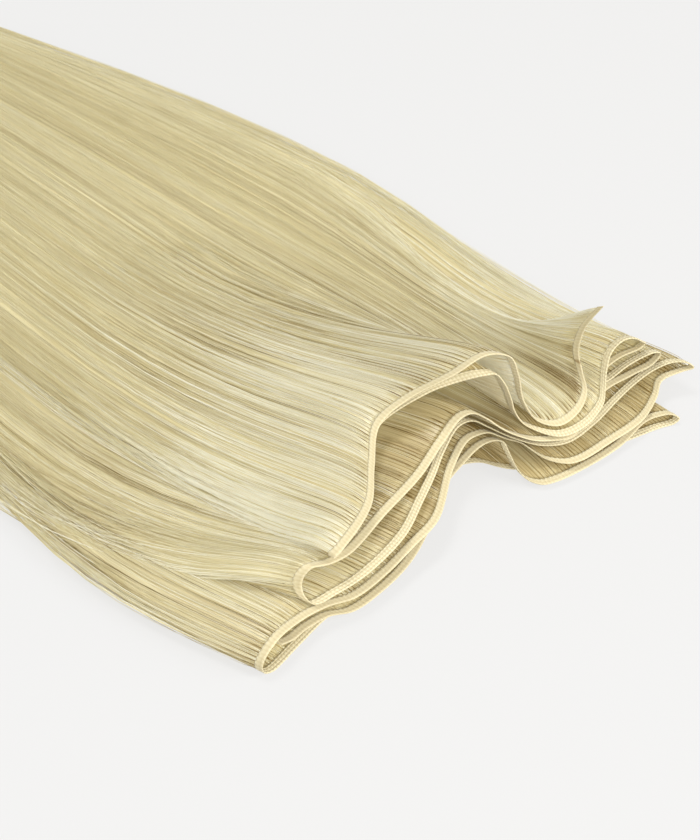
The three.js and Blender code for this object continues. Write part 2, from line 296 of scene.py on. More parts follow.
# Gives every pass its stretch of the front edge and the band length along it
def measurePasses(perGap=40):
    edge = smoothEdge([row for run in passes for row in run["rows"]], perGap)
    edge[:, 2] = np.maximum(edge[:, 2], strip["bandThickness"] / 2)
    lastRow = -1
    before = 0.0
    for index, run in enumerate(passes):
        firstRow = max(lastRow, 0)
        lastRow += len(run["rows"])
        run["root"] = edge[firstRow * perGap:lastRow * perGap + 1]
        steps = np.linalg.norm(np.diff(run["root"], axis=0), axis=1)
        run["way"] = np.concatenate([[0], np.cumsum(steps)])
        run["length"] = run["way"][-1]
        run["before"] = before
        run["upSide"] = 1 if run["edges"][1] > run["edges"][0] else -1
        lockRng = np.random.default_rng(strip["lockSeed"] + index)
        widths = lockRng.uniform(*strip["lockWidths"], int(run["length"] / 3) + 4)    # more than fit
        run["lockMarks"] = np.cumsum(widths) - widths[0] * 1.5
        rise = np.gradient(np.interp(np.arange(run["length"] + 1), run["way"], run["root"][:, 2]))
        level = np.clip(1 - rise**2, 0, 1) ** 2
        span = strip["levelSpan"]
        run["level"] = np.convolve(np.pad(level, span // 2, mode="edge"), np.ones(span) / span, "valid")
        before += run["length"]
    print("strip measured:", round(before), "mm of band in", len(passes), "passes")


def rootPoint(run, share):
    way = np.clip(share, 0, 1) * run["length"]
    return np.stack([np.interp(way, run["way"], run["root"][:, k]) for k in range(3)], -1)


# A point of the hair: it leaves the front edge level, falls to its layer and spreads across the pile
def hairPoint(run, share, reach):
    root = rootPoint(run, share)
    flatAlong = mix(*run["edges"], share)
    layer = run["layer"] + run["overPleat"] * softStep(flatAlong, *strip["pleatSide"])
    flatUp = strip["hairThickness"] / 2 + layer * strip["layerPitch"]
    side = softStep(root[..., 0], *strip["sideChange"])
    fallen = 1 - (1 - np.clip(reach / mix(*strip["fallLength"], side), 0, 1)) ** strip["fallPower"]
    atEdge, atLeft, atRight = strip["spreadLength"]
    spreadLeft = mix(atEdge, atLeft, softStep(root[..., 0], *strip["edgeSide"]))
    easedLeft = 1 - (1 - np.clip(reach / spreadLeft, 0, 1)) ** strip["spreadPower"]
    spread = mix(easedLeft, softStep(reach, 0, atRight), side)
    along = mix(root[..., 0], flatAlong, spread)
    drawnFrom = mix(*strip["narrowFrom"], side)
    far = np.maximum(0, reach - drawnFrom) / (strip["hairLength"] - drawnFrom)
    drawn = along + (strip["pileMiddle"] - along) * strip["narrowShare"] * far ** strip["narrowPower"]
    level = np.interp(np.clip(share, 0, 1) * run["length"], np.arange(len(run["level"])), run["level"])
    height = strip["spring"][run["letter"]]
    for middle, width, more in strip["ridges"].get(run["letter"], ()):
        height = height + more * np.exp(-((root[..., 0] - middle) / width) ** 2)
    low, high, left = strip["springRight"]
    height = height * mix(1, left, softStep(root[..., 0], low, high))
    behind = reach / strip["springReach"]
    sprung = level * behind * np.exp(1 - behind)
    drawn = drawn + strip["springLean"] * side * sprung
    for much, where, (first, last) in strip["bulges"]:
        swell = np.sin(np.pi * np.clip((reach - first) / (last - first), 0, 1))
        drawn = drawn + much * softStep(flatAlong, *where) * swell
    up = mix(root[..., 2], flatUp, fallen) + height * sprung
    return np.stack([drawn, root[..., 1] + reach, up], -1)


# The share of the band that a strand lies over, far from its own root
def bowed(run, share, reach):
    low, high = strip["bowReach"]
    way = np.clip((reach - low) / (high - low), 0, 1) ** strip["bowPower"]
    sweep = strip["bow"].get(run["letter"], 0) / run["length"] * way
    return share + sweep * run["upSide"] * np.sin(np.pi * np.clip(share, 0, 1))


# The way out of the sheet, on the side that looks up where the pass lies flat
def hairNormal(run, share, reach):
    step = 0.4
    gap = step / run["length"]
    inside = np.clip(share, 2 * gap, 1 - 2 * gap)
    across = hairPoint(run, inside + gap, reach) - hairPoint(run, inside - gap, reach)
    along = hairPoint(run, inside, reach + step) - hairPoint(run, inside, np.maximum(reach - step, 0))
    return unit(np.cross(across, along)) * run["upSide"]


def toFrame(points):
    return (points - np.array(strip["origin"])) * mm


# Smooth random values from -1 to 1 over the strip: one value for each cell, eased between them
def patchNoise(rng, across, reach, cellAcross, cellReach):
    margin = 4
    u = across / cellAcross + margin
    v = np.maximum(reach, 0) / cellReach
    size = (int(u.max()) + margin, int(v.max()) + margin)
    grid = rng.uniform(-1, 1, size)
    i, j = np.clip(u.astype(int), 0, size[0] - 2), v.astype(int)
    s, t = np.clip(u - i, 0, 1), v - j
    s, t = s * s * (3 - 2 * s), t * t * (3 - 2 * t)
    low = mix(grid[i, j], grid[i + 1, j], s)
    high = mix(grid[i, j + 1], grid[i + 1, j + 1], s)
    return mix(low, high, t)


# Builds a mesh object from arrays: quads, triangles, a tone for each point and a map of across and reach
def meshPiece(name, points, quads, triangles, tone, hairMap, faceFinish, finishes):
    mesh = bpy.data.meshes.new(name)
    corners = np.concatenate([quads.ravel(), triangles.ravel()]).astype(np.int32)
    sizes = np.concatenate([np.full(len(quads), 4), np.full(len(triangles), 3)])
    starts = np.concatenate([[0], np.cumsum(sizes)[:-1]]).astype(np.int32)
    mesh.vertices.add(len(points))
    mesh.vertices.foreach_set("co", toFrame(points).astype(np.float32).ravel())
    mesh.loops.add(len(corners))
    mesh.loops.foreach_set("vertex_index", corners)
    mesh.polygons.add(len(sizes))
    mesh.polygons.foreach_set("loop_start", starts)
    mesh.polygons.foreach_set("material_index", faceFinish.astype(np.int32))
    mesh.polygons.foreach_set("use_smooth", np.ones(len(sizes), bool))
    mesh.update(calc_edges=True)
    mesh.attributes.new("tone", "FLOAT", "POINT").data.foreach_set("value", tone.astype(np.float32))
    layer = mesh.uv_layers.new(name="hairMap")
    layer.data.foreach_set("uv", hairMap[corners].astype(np.float32).ravel())
    for finish in finishes:
        mesh.materials.append(finish)
    piece = bpy.data.objects.new(name, mesh)
    bpy.context.scene.collection.objects.link(piece)
    print(name, "has", int((sizes - 2).sum()), "triangles")
    return piece


# Noise along the hair map, with so many cells in each metre across and along
def mapNoise(nodes, links, cells, detail):
    hairMap = nodes.new("ShaderNodeUVMap")
    hairMap.uv_map = "hairMap"
    stretch = nodes.new("ShaderNodeVectorMath")
    stretch.operation = "MULTIPLY"
    stretch.inputs[1].default_value = (*cells, 1)
    noise = nodes.new("ShaderNodeTexNoise")
    noise.inputs["Scale"].default_value = 1
    noise.inputs["Detail"].default_value = detail
    links.new(hairMap.outputs["UV"], stretch.inputs[0])
    links.new(stretch.outputs["Vector"], noise.inputs["Vector"])
    return hairMap, noise


def colourRamp(nodes, colours):
    ramp = nodes.new("ShaderNodeValToRGB")
    stops = ramp.color_ramp.elements
    for _ in colours[2:]:
        stops.new(0.5)
    for stop, (place, colour) in zip(stops, colours):
        stop.position = place
        stop.color = (*colour, 1)
    return ramp


# Colours from shadowed gaps to the palest hairs, how the streaks run, and the painted shade in the gaps
# between sewn bundles
hairLook = {
    "colours": [
        (0.0, (0.270, 0.165, 0.030)),
        (0.28, (0.580, 0.480, 0.245)),
        (0.55, (0.775, 0.708, 0.448)),
        (0.8, (0.868, 0.825, 0.615)),
        (1.0, (0.945, 0.920, 0.785)),
    ],
    "streaks": (2600, 8),      # noise cells in each metre across and along
    "streakDetail": 3,
    "streakShare": 0.26,
    "packedStreaks": 2.4,
    "streakReach": (0.05, 0.22),
    "farStreaks": 0.2,
    "roughness": 0.34,
    "gloss": 0.8,
    "bending": 1.6,
    "seeThrough": 0.42,
    "glow": 0.12,              # painted glow: the hair emits a little light in place of light scattered through the pile
    "bump": 0.25,
    "bumpDepth": 0.0001,
    # Painted shade: the packed sheet is darker in the gaps between sewn bundles, near the band
    "gapShade": 0.42,
    "gapWidth": (0.36, 0.48),
    "gapReach": (0.004, 0.009, 0.030),
    "gapVary": (0.8, 0.3),
}


def hairFinish(name, streakShare, gapShade):
    finish = bpy.data.materials.new(name)
    finish.use_nodes = True
    nodes, links = finish.node_tree.nodes, finish.node_tree.links

    def math(operation, first, second=None, third=None):
        node = nodes.new("ShaderNodeMath")
        node.operation = operation
        for socket, value in zip(node.inputs, (first, second, third)):
            if isinstance(value, (int, float)):
                socket.default_value = value
            elif value is not None:
                links.new(value, socket)
        return node.outputs["Value"]

    def softRange(value, low, high, atLow, atHigh):
        node = nodes.new("ShaderNodeMapRange")
        node.interpolation_type = "SMOOTHSTEP"
        for socket, number in zip(("From Min", "From Max", "To Min", "To Max"), (low, high, atLow, atHigh)):
            node.inputs[socket].default_value = number
        links.new(value, node.inputs["Value"])
        return node.outputs["Result"]

    shader = nodes["Principled BSDF"]
    shader.inputs["Roughness"].default_value = hairLook["roughness"]
    shader.inputs["Specular IOR Level"].default_value = hairLook["gloss"]
    shader.inputs["IOR"].default_value = hairLook["bending"]
    shader.inputs["Emission Strength"].default_value = hairLook["glow"]
    tone = nodes.new("ShaderNodeAttribute")
    tone.attribute_name = "tone"
    hairMap, streak = mapNoise(nodes, links, hairLook["streaks"], hairLook["streakDetail"])
    parts = nodes.new("ShaderNodeSeparateXYZ")
    links.new(hairMap.outputs["UV"], parts.inputs[0])
    farShare = streakShare * hairLook["farStreaks"]
    calm = softRange(parts.outputs["Y"], *hairLook["streakReach"], streakShare, farShare)
    shade = math("MULTIPLY_ADD", math("SUBTRACT", streak.outputs["Fac"], 0.5), calm, tone.outputs["Fac"])
    # Painted shade: darker in the gaps between sewn bundles, fading out with reach from the band
    if gapShade > 0:
        turns = math("DIVIDE", parts.outputs["X"], strip["bundlePitch"] * mm)
        fromMiddle = math("ABSOLUTE", math("SUBTRACT", math("FRACT", turns), 0.5))
        gap = softRange(fromMiddle, *hairLook["gapWidth"], 0, 1)
        chance = nodes.new("ShaderNodeTexWhiteNoise")
        chance.noise_dimensions = "1D"
        links.new(math("FLOOR", math("ADD", turns, 0.5)), chance.inputs["W"])
        start, shortest, longest = hairLook["gapReach"]
        ending = math("MULTIPLY_ADD", chance.outputs["Value"], longest - shortest, shortest)
        gone = math("DIVIDE", math("SUBTRACT", parts.outputs["Y"], start), math("SUBTRACT", ending, start))
        near = softRange(gone, 0, 1, gapShade, 0)
        near = math("MULTIPLY", near, math("MULTIPLY_ADD", chance.outputs["Value"], *hairLook["gapVary"]))
        shade = math("SUBTRACT", shade, math("MULTIPLY", gap, near))
    ramp = colourRamp(nodes, hairLook["colours"])
    bump = nodes.new("ShaderNodeBump")
    bump.inputs["Strength"].default_value = hairLook["bump"]
    bump.inputs["Distance"].default_value = hairLook["bumpDepth"]
    through = nodes.new("ShaderNodeBsdfTranslucent")
    both = nodes.new("ShaderNodeMixShader")
    both.inputs["Fac"].default_value = hairLook["seeThrough"]
    links.new(shade, ramp.inputs["Fac"])
    links.new(ramp.outputs["Color"], shader.inputs["Base Color"])
    links.new(ramp.outputs["Color"], shader.inputs["Emission Color"])
    links.new(ramp.outputs["Color"], through.inputs["Color"])
    links.new(streak.outputs["Fac"], bump.inputs["Height"])
    links.new(bump.outputs["Normal"], shader.inputs["Normal"])
    links.new(shader.outputs["BSDF"], both.inputs[1])
    links.new(through.outputs["BSDF"], both.inputs[2])
    links.new(both.outputs["Shader"], nodes["Material Output"].inputs["Surface"])
    return finish


# Hair lengths vary in locks, as the solids' tips do
def tipReach(run, share):
    width = abs(run["edges"][1] - run["edges"][0])
    wave = np.abs(np.sin(np.pi * width / strip["lockWidth"] * share))
    return strip["hairLength"] - strip["tipStagger"] * wave + strip["bandWidth"]


# How far the hair at a pass's side edges sinks on to the pass below it, close to the band and far from it
sideDrop = {
    "left": {"a": (4.0, 1.5), "b": (2.2, 1.1), "e": (5.2, 2.4), "f": (2.6, 1.2)},
    "leftReach": {"a": (3, 24), "b": (3, 24), "e": (6, 36), "f": (6, 36)},
    "right": {"a": (10.0, 1.2)},
    "rightElse": (0.9, 0.9),
    "rightReach": (1, 36),
    "farReach": (20, 130),
    "width": 26,
    "beyond": 0.4,             # loose hairs past the edge sink further, over this share of the width
    "vary": (0.75, 1.08),
    "feather": {"a": 4, "b": 3, "e": 7, "f": 5},
    "featherRight": {"a": 6},
    "featherMost": 2.0,
    "featherBack": 0.6,
    "featherReach": (20, 130),
    "rim": 0.3,
    "sheetInset": 5,
    "insetReach": (10, 80),
}


def edgeSink(run, across, reach):
    letter = run["letter"]
    fromLeft = across if run["upSide"] > 0 else run["length"] - across
    atLeft = (1 - np.clip(fromLeft / sideDrop["width"], -sideDrop["beyond"], 1)) ** 2
    atRight = (1 - np.clip((run["length"] - fromLeft) / sideDrop["width"], 0, 1)) ** 2
    far = softStep(reach, *sideDrop["farReach"])
    onRight = sideDrop["right"].get(letter, sideDrop["rightElse"])
    sunk = mix(*onRight, far) * atRight * softStep(reach, *sideDrop["rightReach"])
    if letter in sideDrop["left"]:
        setIn = softStep(reach, *sideDrop["leftReach"][letter])
        sunk = sunk + mix(*sideDrop["left"][letter], far) * atLeft * setIn
    return sunk


# The tone of each hair along its reach: lines, locks and patches, painted shade in the gaps and inside the
# folds, and painted light and shade in places
tones = {
    "middle": 0.57,
    "lock": 0.06,
    "lockReach": (10, 60),
    "patch": 0.07,
    "patchCells": (1.6, 55),
    "line": 0.36,              # lines of paler and darker hair, a few hairs wide
    "lineCells": (0.34, 60),
    "farLines": 0.25,
    "farLinesReach": (45, 210),
    "single": 0.27,
    "farSingle": 0.20,
    "farSingleReach": (40, 150),
    # Where the lines are fainter: the share left, from and to along the pile, and up to which reach
    "fainter": {"a": (0.65, 104, 122, 900), "e": (0.45, 40, 28, 64)},
    "gap": 0.62,               # painted shade: the dark hairs in the gaps, which are shorter on the right
    "gapLength": (8, 80),
    "gapFade": 0.4,
    "gapRight": 0.22,
    "gapRightFrom": (105, 140),
    "pale": 0.24,              # painted sheen: the hair behind the band is painted paler, as a highlight
    "paleReach": (2, 8),
    "paleEnd": (22, 85),
    "paleCells": (12, 34),
    # Painted shade inside the folds: which passes, from where along the pile, to where on b, and over which
    # reach it fades
    "insidePasses": "befghi",
    "inside": 0.22,
    "insideFrom": (38, 62),
    "insideTo": (118, 140),
    "insideReach": (8, 40),
    # Painted light: the hairs under the sheet of passes a and b, which lie in shade, are painted paler
    "under": {"a": 0.60, "b": 0.55},
    "edge": 0.24,              # painted light: the side edges are painted paler, as a highlight, fading over this reach
    "leftFade": {"a": (60, 200), "b": (60, 200), "e": (25, 75), "f": (25, 75)},
    "rightFade": (60, 200),
    "rightFar": 0.4,
    # Painted sheen and painted shade in places: along the pile, reach, half sizes and tone
    "sheenAndShade": {
        "a": (
            (33, 14, 9, 18, 0.25), (46, 30, 24, 34, 0.40), (88, 30, 15, 30, 0.22),
            (144, 25, 2, 45, 0.30), (137, 14, 6, 19, -0.62), (115, 4, 1.8, 10, 0.25),
        ),
        "b": ((32, 12, 6, 25, 0.45), (103, 10, 9, 16, 0.35), (158, 30, 14, 60, 0.22)),
        "e": ((36, 10, 8, 18, 0.35), (22, 15, 8, 30, -0.20)),
    },
}


# Painted shade: the hair inside the folds is painted a deeper gold than the hair outside, most near the band
def insideShade(run, share, reach):
    if run["letter"] not in tones["insidePasses"]:
        return 0
    rootAlong = rootPoint(run, share)[..., 0]
    inside = softStep(rootAlong, *tones["insideFrom"])
    if run["letter"] == "b":    # its right-hand part lies outside
        inside = inside * (1 - softStep(rootAlong, *tones["insideTo"]))
    return inside * (1 - softStep(reach, *tones["insideReach"]))


def toneHairs(run, rng, place, reach, inGap, under, lockShade, atLeft, atRight):
    letter, count = run["letter"], len(place)
    spot = place + 0 * reach
    share = place / run["length"]
    rootAlong = rootPoint(run, share)[..., 0]
    tone = tones["middle"] + tones["lock"] * lockShade * softStep(reach, *tones["lockReach"])
    tone = tone + tones["patch"] * patchNoise(rng, spot, reach, *tones["patchCells"])

    faint, first, last, until = tones["fainter"].get(letter, (1, 0, 1, 1))
    faint = mix(1, faint, softStep(rootAlong, first, last) * (1 - softStep(reach, until / 2, until)))
    lines = mix(1, tones["farLines"], softStep(reach, *tones["farLinesReach"])) * faint
    tone = tone + tones["line"] * patchNoise(rng, spot, reach, *tones["lineCells"]) * lines
    single = mix(1, tones["farSingle"], softStep(reach, *tones["farSingleReach"])) * faint
    tone = tone + tones["single"] * rng.normal(0, 1, count)[:, None] * single
    # Painted shade: the hairs in the gaps are dark near the band, fading out along their reach
    gapEnd = mix(*tones["gapLength"], rng.uniform(0, 1, count)[:, None] ** 2)
    gapEnd = gapEnd * mix(1, tones["gapRight"], softStep(rootAlong, *tones["gapRightFrom"]))
    tone = tone - tones["gap"] * inGap * faint * (1 - softStep(reach, tones["gapFade"] * gapEnd, gapEnd))

    inside = insideShade(run, share, reach)
    # Painted sheen: the hair behind the band is painted paler, but not inside the folds
    pale = softStep(reach, *tones["paleReach"]) * (1 - softStep(reach, *tones["paleEnd"])) * (1 - inside)
    tone = tone + tones["pale"] * pale * (1 + patchNoise(rng, spot, reach, *tones["paleCells"]))
    # Painted shade inside the folds
    tone = tone - tones["inside"] * inside
    # Painted sheen where the tone is raised, painted shade where it is lowered
    for middle, back, halfWide, halfLong, more in tones["sheenAndShade"].get(letter, ()):
        offAlong = (rootAlong - middle) / halfWide
        offReach = (reach - back) / halfLong
        tone = tone + more * np.exp(-offAlong**2 - offReach**2)
    # Painted light on the side edges, as a highlight
    litLeft = atLeft**3 * (1 - softStep(reach, *tones["leftFade"].get(letter, (0, 1))))
    litRight = atRight**3 * mix(1, tones["rightFar"], softStep(reach, *tones["rightFade"]))
    tone = tone + tones["edge"] * (litLeft + litRight)
    # Painted light on the hairs under the sheet, which lie in shade
    return tone + tones["under"].get(letter, 0) * under


# Hairs: how they leave the band in sewn bundles, fan out, gather in locks and lie over each other.
# A name that ends in Reach is the stretch of hair, measured from the band, over which that sets in.
hairs = {
    "steps": (2, 3.6, 5.5, 8, 11.5, 16, 21.5, 28.5, 37, 48, 62, 79, 99, 124, 155, 193, 237, 288, 344, 406),
    "endVary": (0.93, 1.0),
    "fan": ((2.6, 0.62), (4.0, 0.76), (6.0, 0.90), (12.0, 0.96), (40.0, 1.0)),    # reach and bundle width
    "fanHold": (0.5, 1.4),
    "fanLeast": 0.3,
    "gapShare": {"a": 0.34, "e": 0.15, "g": 0.32},    # dark hairs in the gaps between bundles, as painted shade
    "gapShareElse": 0.20,
    "gapJitter": 0.05,
    "gapGirth": (0.06, 0.105),
    "gapLift": (0.50, 0.36),
    "gapLiftReach": (12, 60),
    "tooth": 2.0,              # stretches of band where the dark gap hairs thicken into teeth of painted shade
    "toothShare": 1.5,
    "toothCells": (14, 400),
    "toothEnd": (3.6, 7.5),
    "lift": (-0.36, 0.40),
    "liftReach": (1.5, 7),
    "underLift": -0.1,
    "bundleDome": 0.08,
    "bundleDomeReach": (3, 5),
    "bundleDomeEnd": (12, 40),
    "lockHold": (0.3, 1),
    "lockLift": 0.28,
    "lockLiftCells": (2.5, 45),
    "lockLiftReach": (6, 45),
    "dome": 0.42,
    "domeReach": (10, 90),
    "farLift": 0.35,
    "farLiftReach": (90, 220),
    "gather": 0.18,
    "gatherReach": (15, 170),
    "wander": 1.3,
    "wanderCells": (9, 110),
    "wanderReach": (12, 130),
    "stray": 0.5,
    "strayReach": (12, 300),
    "swing": 0.3,
    "swingLength": (50, 150),
    "swingReach": (8, 60),
    "girth": (0.055, 0.12),
    "rootGirth": 0.8,
    "rootGirthReach": (3, 12),
    "flatness": 0.7,
    "tipGirth": 0.3,
    "tipLength": 45,
}

# Where a pass shows most, as a stretch of its band, and the share of its hairs that lies there
crowd = {
    "b": (0.76, 1.0, 0.5), "e": (0.70, 1.0, 0.55), "f": (0.0, 0.3, 0.4),
    "g": (0.70, 1.0, 0.5), "h": (0.0, 0.2, 0.4),
}


def growHairs(run, count, rng):
    letter, length, upSide = run["letter"], run["length"], run["upSide"]
    bundles = max(1, round(length / strip["bundlePitch"]))
    pitch = length / bundles
    low, high, part = crowd.get(letter, (0, 1, 1))
    crowded = rng.uniform(0, 1, count) < part
    crowdShare = rng.uniform(low, high, count)
    spotShare = np.where(crowded, crowdShare, rng.uniform(0, 1, count))
    bundle = np.minimum((spotShare * bundles).astype(int), bundles - 1)[:, None]
    within = rng.uniform(-0.5, 0.5, count)[:, None]
    # Dark hairs in the gaps between bundles, as painted shade
    gapShare = hairs["gapShare"].get(letter, hairs["gapShareElse"])
    inGap = (rng.uniform(0, 1, count) < gapShare)[:, None]
    within = np.where(inGap, 0.5 + hairs["gapJitter"] * within, within)
    place = np.clip((bundle + 0.5 + within) * pitch, 0, length)
    ends = tipReach(run, place / length) * rng.uniform(*hairs["endVary"], count)[:, None]
    steps = np.array(hairs["steps"], float)[None, :]
    reach = steps / strip["hairLength"]
    reach = steps[0, 0] + (ends - steps[0, 0]) * (reach - reach[:, :1]) / (1 - reach[:, :1])
    spot = place + 0 * reach

    lock = np.clip(np.searchsorted(run["lockMarks"], place) - 1, 0, len(run["lockMarks"]) - 2)
    low, high = run["lockMarks"][lock], run["lockMarks"][lock + 1]
    inLock = (place - (low + high) / 2) / ((high - low) / 2)
    lockRng = np.random.default_rng(ord(letter))
    lockHold = lockRng.uniform(*hairs["lockHold"], len(run["lockMarks"]))[lock]
    lockShade = lockRng.uniform(-1, 1, len(run["lockMarks"]))[lock]
    gather = hairs["gather"] * lockHold * softStep(reach, *hairs["gatherReach"]) * inLock * (high - low) / 2

    # Where each hair lies across its pass: fanned out of the bundle, gathered, wandering and feathered
    hold = rng.uniform(*hairs["fanHold"], bundles)[bundle]
    fanned = np.interp(reach, *np.array(hairs["fan"]).T)
    squeeze = np.clip(1 - (1 - fanned) * hold, hairs["fanLeast"], 1)
    squeeze = np.where(inGap, 1, squeeze)
    across = (bundle + 0.5 + within * squeeze) * pitch - gather
    strayed = rng.normal(0, 1, count)[:, None] * softStep(reach, *hairs["strayReach"])
    wander = patchNoise(rng, spot, reach, *hairs["wanderCells"]) * softStep(reach, *hairs["wanderReach"])
    waveLength = rng.uniform(*hairs["swingLength"], count)[:, None]
    swing = np.sin(2 * np.pi * (reach / waveLength + rng.uniform(0, 1, count)[:, None]))
    swing = swing * rng.normal(0, hairs["swing"], count)[:, None] * softStep(reach, *hairs["swingReach"])
    across = across + hairs["stray"] * strayed + hairs["wander"] * wander + swing
    fromLeft = place if upSide > 0 else length - place
    atLeft = 1 - softStep(fromLeft, 0, sideDrop["width"])
    atRight = 1 - softStep(length - fromLeft, 0, sideDrop["width"])
    most, rim = sideDrop["featherMost"], sideDrop["rim"]
    feather = sideDrop["feather"].get(letter, 0)
    featherRight = sideDrop["featherRight"].get(letter, 0)
    apart = np.minimum(rng.exponential(1, count), most)[:, None] - sideDrop["featherBack"]
    outward = -upSide * apart * feather
    inward = -upSide * rng.uniform(0, most, count)[:, None] * featherRight
    loosened = softStep(reach, *sideDrop["featherReach"])
    across = across + (outward * atLeft + inward * atRight) * loosened
    loose = feather * loosened + rim
    lowest, highest = (-loose, length - rim) if upSide > 0 else (rim, length + loose)
    share = bowed(run, np.clip(across, lowest, highest) / length, reach)

    # How high it lies: over or under the sheet, domed in its bundle and lock, and sunk at the sides
    lift = rng.uniform(*hairs["lift"], count)[:, None]
    under = lift < hairs["underLift"]
    gapLift = mix(*hairs["gapLift"], softStep(reach, *hairs["gapLiftReach"])) * np.sign(lift)
    lift = np.where(inGap, gapLift, lift) * softStep(reach, *hairs["liftReach"])
    domed = softStep(reach, *hairs["bundleDomeReach"]) * (1 - softStep(reach, *hairs["bundleDomeEnd"]))
    lift = lift + hairs["bundleDome"] * (0.5 - (2 * within) ** 2) * domed
    flatter = mix(1, hairs["farLift"], softStep(reach, *hairs["farLiftReach"]))
    lockLift = hairs["lockLift"] * patchNoise(rng, spot, reach, *hairs["lockLiftCells"])
    lift = lift + lockLift * softStep(reach, *hairs["lockLiftReach"]) * flatter
    dome = hairs["dome"] * (0.5 - inLock**2) * lockHold
    lift = lift + dome * softStep(reach, *hairs["domeReach"]) * flatter
    normal = hairNormal(run, share, reach)
    centre = hairPoint(run, share, reach) + normal * lift[..., None]
    centre[..., 2] -= edgeSink(run, across, reach) * rng.uniform(*sideDrop["vary"], count)[:, None]

    # Each hair is a closed tube with three sides, thinner at the band and drawn out at its tip
    along = unit(np.gradient(centre, axis=1))
    sideways = unit(np.cross(along, normal))
    upward = np.cross(sideways, along)
    gapGirth = rng.uniform(*hairs["gapGirth"], count)[:, None]
    girth = np.where(inGap, gapGirth, rng.uniform(*hairs["girth"], count)[:, None])
    taper = mix(1, hairs["tipGirth"], softStep(reach, ends - hairs["tipLength"], ends))
    radius = girth * taper * mix(hairs["rootGirth"], 1, softStep(reach, *hairs["rootGirthReach"]))
    # Painted shade: the dark gap hairs thicken into teeth right behind the band
    toothed = patchNoise(rng, place, reach[:, :1], *hairs["toothCells"])
    toothed = np.clip(hairs["toothShare"] * toothed, 0, 1)
    radius = radius * (1 + hairs["tooth"] * toothed * inGap * (1 - softStep(reach, *hairs["toothEnd"])))
    roll = rng.uniform(0, 2 * np.pi, count)[:, None]
    ring = []
    for corner in range(3):
        angle = roll + corner * 2 * np.pi / 3
        wide = (np.cos(angle) * radius)[..., None] * sideways
        tall = (np.sin(angle) * radius * hairs["flatness"])[..., None] * upward
        ring.append(centre + wide + tall)
    points = np.stack(ring, 2)
    points[..., 2] = np.maximum(points[..., 2], strip["floorGap"])
    number = np.arange(count * reach.shape[1] * 3).reshape(count, -1, 3)
    following = np.roll(number, -1, axis=2)
    quads = np.stack([number[:, :-1], following[:, :-1], following[:, 1:], number[:, 1:]], -1)
    caps = np.concatenate([number[:, 0, ::-1], number[:, -1]])

    tone = toneHairs(run, rng, place, reach, inGap, under, lockShade, atLeft, atRight)
    mapped = np.stack([spot / pitch * strip["bundlePitch"], reach], -1) * mm
    tone = np.repeat(tone.ravel(), 3)
    mapped = np.repeat(mapped.reshape(-1, 2), 3, axis=0)
    return points.reshape(-1, 3), quads.reshape(-1, 4), caps, tone, mapped


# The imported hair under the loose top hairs: a thin closed sheet with ragged tips
packed = {
    "stationStep": 2.4,
    "span": (0.002, 0.998),
    "steps": (2, 3.6, 6, 9, 13, 18, 24, 31, 39, 48, 58, 70, 84, 100, 118, 140, 170, 210, 255, 300, 345, 392),
    "ragged": (0.9, 0.975),
    "thickness": 0.14,
    # Painted shade: the sheet is a little darker than the loose hairs over it, and darker still near the
    # band
    "tone": 0.52,
    "rootTone": 0.50,
    "rootReach": (4, 22),
    "patchTone": 0.1,
    "patchCells": (2.5, 200),
}


def packHair(run, rng):
    stations = max(4, int(run["length"] / packed["stationStep"]))
    share = np.linspace(*packed["span"], stations)[:, None]
    steps = np.array(packed["steps"], float)[None, :]
    ragged = rng.uniform(*packed["ragged"], stations)[:, None]
    reach = np.minimum(steps, tipReach(run, share) * ragged)
    inset = 2 * sideDrop["sheetInset"] / run["length"] * softStep(reach, *sideDrop["insetReach"])
    rootShare = share + 0 * reach
    share = bowed(run, 0.5 + (share - 0.5) * (1 - inset), reach)
    across = share * run["length"]
    normal = hairNormal(run, share, reach)
    middle = hairPoint(run, share, reach)
    middle[..., 2] -= edgeSink(run, across, reach)
    half = packed["thickness"] / 2
    points = np.stack([middle + normal * half, middle - normal * half])
    points[..., 2] = np.maximum(points[..., 2], strip["floorGap"])
    columns = steps.shape[1]
    number = np.arange(2 * stations * columns).reshape(2, stations, columns)

    def patch(a):
        return np.stack([a[:-1, :-1], a[1:, :-1], a[1:, 1:], a[:-1, 1:]], -1).reshape(-1, 4)

    def rim(a, b):
        return np.stack([a[:-1], b[:-1], b[1:], a[1:]], -1)

    top, under = number
    quads = np.concatenate([
        patch(top), patch(under)[:, ::-1],
        rim(top[0], under[0]), rim(under[-1], top[-1]),
        rim(under[:, 0], top[:, 0]), rim(top[:, -1], under[:, -1]),
    ])
    # Painted shade: darker near the band, where the sheet shows between bundles
    tone = mix(packed["rootTone"], packed["tone"], softStep(reach, *packed["rootReach"]))
    tone = tone + packed["patchTone"] * patchNoise(rng, across, reach, *packed["patchCells"])
    # Painted shade inside the folds
    tone = tone - tones["inside"] * insideShade(run, rootShare, reach)
    # Painted light: the sheet's underside on a and b, in shade, is painted paler
    underTone = tone + tones["under"].get(run["letter"], 0)
    bundles = max(1, round(run["length"] / strip["bundlePitch"]))
    mapped = np.stack([rootShare * bundles * strip["bundlePitch"], reach], -1) * mm
    bothTones = np.concatenate([tone.ravel(), underTone.ravel()])
    bothMaps = np.concatenate([mapped.reshape(-1, 2)] * 2)
    return points.reshape(-1, 3), quads, bothTones, bothMaps


# How many loose hairs each pass gets: the top pass shows most, the inner ones only at their edges
coat = {
    "counts": {"a": 1540, "b": 620, "c": 130, "d": 130, "e": 1150, "f": 520, "g": 940, "h": 350, "i": 190},
    "topCount": 1660,
    "seed": 41,
}


